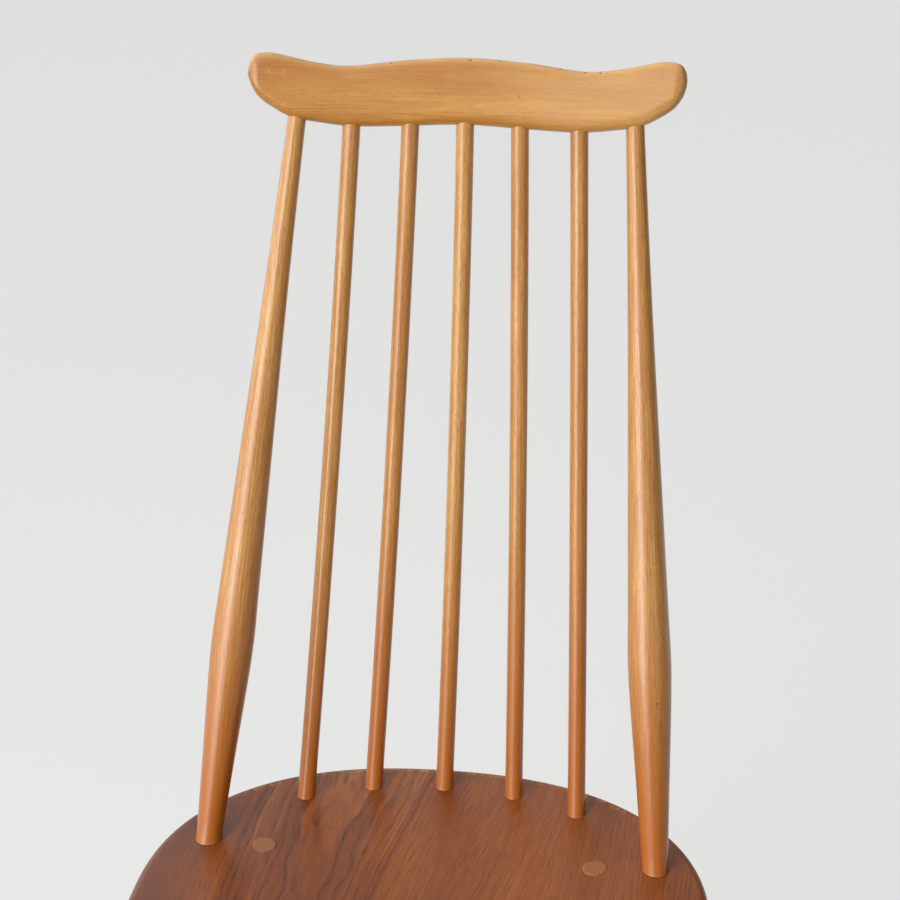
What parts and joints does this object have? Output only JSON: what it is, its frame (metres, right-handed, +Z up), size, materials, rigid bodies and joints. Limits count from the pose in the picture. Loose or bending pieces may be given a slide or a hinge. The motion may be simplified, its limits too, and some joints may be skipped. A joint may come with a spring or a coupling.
{
  "type": "spindle back dining chair",
  "caption": "Wooden dining chair with a shallow dished seat, splayed turned legs joined by stretchers, and a tall raked back of bent spindles between turned posts under a shaped crest rail.",
  "frame": {"origin": "on the floor, under the middle of the chair's bounding box", "axes": "+X to the right of someone facing the chair's front, -Y out of the front, +Z up"},
  "size_m": [0.408, 0.5494, 0.9548],
  "materials": {
    "seat": "satin clear lacquer on reddish brown elm, grain running front to back",
    "crest": "satin clear lacquer on golden beech, worn nicks on the top edge",
    "sticks": "satin clear lacquer on orange tan beech",
    "legs": "satin clear lacquer on orange tan beech"
  },
  "bodies": {
    "root": {"seat": "seat", "crest_rail": "crest", "back_post_left": "sticks", "back_post_right": "sticks", "spindle_1": "sticks", "spindle_2": "sticks", "spindle_3": "sticks", "spindle_4": "sticks", "spindle_5": "sticks", "leg_front_left": "legs", "leg_front_right": "legs", "leg_rear_left": "legs", "leg_rear_right": "legs", "side_stretcher_left": "legs", "side_stretcher_right": "legs", "centre_stretcher": "legs"}
  },
  "joints": []
}
